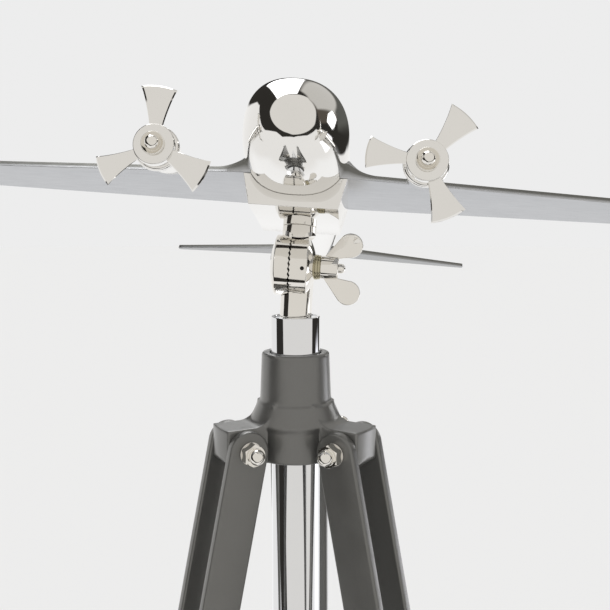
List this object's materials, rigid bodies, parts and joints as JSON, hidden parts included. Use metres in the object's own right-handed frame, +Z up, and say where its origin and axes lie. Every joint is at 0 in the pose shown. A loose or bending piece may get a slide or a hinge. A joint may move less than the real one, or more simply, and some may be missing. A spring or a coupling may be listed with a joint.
{
  "type": "model airplane on a tripod stand",
  "caption": "Polished metal twin-engine model airplane on a toothed tilt knuckle, carried by a sliding column in a tripod with folding, extending slat legs.",
  "frame": {"origin": "middle of the object's footprint box, on the floor under the feet", "axes": "+Z up, -Y towards the airplane's nose, +X to the right as seen from in front of the nose"},
  "size_m": [0.5992, 0.4658, 1.2709],
  "materials": {
    "polished_casting": "mirror polished, nickel plated",
    "satin_sheet": "satin brushed",
    "polished_nickel": "mirror polished nickel",
    "chrome_tube": "polished",
    "bright_zinc": "bright zinc",
    "yellow_zinc": "yellow passivated",
    "grey_lacquer": "satin metallic lacquer",
    "grey_lacquered_wood": "satin metallic lacquer",
    "black_plastic": "satin",
    "black_rubber": "matt"
  },
  "bodies": {
    "stand_crown": {"crown": "grey_lacquer", "crown_sleeve": "black_plastic", "crown_set_screw": "bright_zinc", "pivot_bolts": "bright_zinc", "pivot_washers": "bright_zinc", "cap_nuts": "bright_zinc"},
    "leg_left": {"leg_left_slats": "grey_lacquered_wood", "leg_left_clamp": "grey_lacquer"},
    "leg_left_screw": {"leg_left_knob": "black_plastic"},
    "leg_left_lower": {"leg_left_bar": "grey_lacquered_wood", "leg_left_foot": "black_rubber"},
    "leg_right": {"leg_right_slats": "grey_lacquered_wood", "leg_right_clamp": "grey_lacquer"},
    "leg_right_screw": {"leg_right_knob": "black_plastic"},
    "leg_right_lower": {"leg_right_bar": "grey_lacquered_wood", "leg_right_foot": "black_rubber"},
    "leg_back": {"leg_back_slats": "grey_lacquered_wood", "leg_back_clamp": "grey_lacquer"},
    "leg_back_screw": {"leg_back_knob": "black_plastic"},
    "leg_back_lower": {"leg_back_bar": "grey_lacquered_wood", "leg_back_foot": "black_rubber"},
    "column": {"column_tube": "chrome_tube", "column_socket": "black_plastic", "column_end_plug": "black_plastic"},
    "head": {"stem_knuckle": "polished_nickel", "stem_retainer": "bright_zinc", "knuckle_grub_screw": "bright_zinc"},
    "airplane": {"neck_knuckle": "polished_nickel", "tilt_stud": "polished_nickel", "neck_stud": "bright_zinc", "saddle": "polished_casting", "fuselage": "polished_casting", "wing_left": "satin_sheet", "wing_right": "satin_sheet", "tailplane": "satin_sheet", "tail_fin": "satin_sheet", "nacelle_left": "polished_casting", "nacelle_right": "polished_casting", "prop_washers": "bright_zinc", "prop_axle_left": "polished_nickel", "prop_axle_right": "polished_nickel"},
    "washer_pair": {"lock_washers": "yellow_zinc"},
    "nut": {"wing_nut": "polished_nickel"},
    "prop_left": {"prop_left": "polished_casting"},
    "prop_right": {"prop_right": "polished_casting"}
  },
  "joints": [
    {"name": "leg_left_fold", "type": "hinge", "parent": "stand_crown", "child": "leg_left", "pos_m": [-0.03954, -0.1081, 1.05], "axis": [0.5, -0.866, 0], "range_deg": [0, 11.5]},
    {"name": "leg_left_extend", "type": "slide", "parent": "leg_left", "child": "leg_left_lower", "axis": [-0.1727, -0.0997, -0.9799], "range_m": [-0.3, 0.05]},
    {"name": "leg_left_clamp_turn", "type": "hinge", "parent": "leg_left", "child": "leg_left_screw", "pos_m": [-0.13157, -0.16123, 0.5277], "axis": [-0.8486, -0.49, 0.1994], "range_deg": [0, 270]},
    {"name": "leg_right_fold", "type": "hinge", "parent": "stand_crown", "child": "leg_right", "pos_m": [0.03234, -0.1081, 1.05], "axis": [0.5, 0.866, 0], "range_deg": [0, 11.5]},
    {"name": "leg_right_extend", "type": "slide", "parent": "leg_right", "child": "leg_right_lower", "axis": [0.1727, -0.0997, -0.9799], "range_m": [-0.3, 0.05]},
    {"name": "leg_right_clamp_turn", "type": "hinge", "parent": "leg_right", "child": "leg_right_screw", "pos_m": [0.12436, -0.16123, 0.5277], "axis": [0.8486, -0.49, 0.1994], "range_deg": [0, 270]},
    {"name": "leg_back_fold", "type": "hinge", "parent": "stand_crown", "child": "leg_back", "pos_m": [-0.0036, -0.04585, 1.05], "axis": [-1, 0, 0], "range_deg": [0, 11.5]},
    {"name": "leg_back_extend", "type": "slide", "parent": "leg_back", "child": "leg_back_lower", "axis": [0, 0.1994, -0.9799], "range_m": [-0.3, 0.05]},
    {"name": "leg_back_clamp_turn", "type": "hinge", "parent": "leg_back", "child": "leg_back_screw", "pos_m": [-0.0036, 0.06042, 0.5277], "axis": [0, 0.9799, 0.1994], "range_deg": [0, 270]},
    {"name": "column_rise", "type": "slide", "parent": "stand_crown", "child": "column", "axis": [0, 0, 1], "range_m": [-0.018, 0.25]},
    {"name": "head_pan", "type": "hinge", "parent": "column", "child": "head", "pos_m": [-0.0036, -0.08735, 1.1318], "axis": [0.0628, 0, 0.998], "continuous": true},
    {"name": "head_tilt", "type": "hinge", "parent": "head", "child": "airplane", "pos_m": [-0.00155, -0.08735, 1.16444], "axis": [0.9979, -0.0175, -0.0628], "range_deg": [-35, 50]},
    {"name": "nut_turn", "type": "hinge", "parent": "washer_pair", "child": "nut", "pos_m": [0.01836, -0.0877, 1.16318], "axis": [0.9979, -0.0175, -0.0628], "range_deg": [0, 1080]},
    {"name": "nut_travel", "type": "slide", "parent": "airplane", "child": "washer_pair", "axis": [0.9979, -0.0175, -0.0628], "range_m": [0, 0.003]},
    {"name": "prop_left_spin", "type": "hinge", "parent": "airplane", "child": "prop_left", "pos_m": [-0.0717, -0.19001, 1.23431], "axis": [-0.0048, -0.9806, 0.1958], "continuous": true},
    {"name": "prop_right_spin", "type": "hinge", "parent": "airplane", "child": "prop_right", "pos_m": [0.07079, -0.1925, 1.22535], "axis": [-0.0048, -0.9806, 0.1958], "continuous": true}
  ],
  "couplings": [
    {"joint": "nut_travel", "follows": "nut_turn", "m_per_rad": 0.00015915}
  ]
}
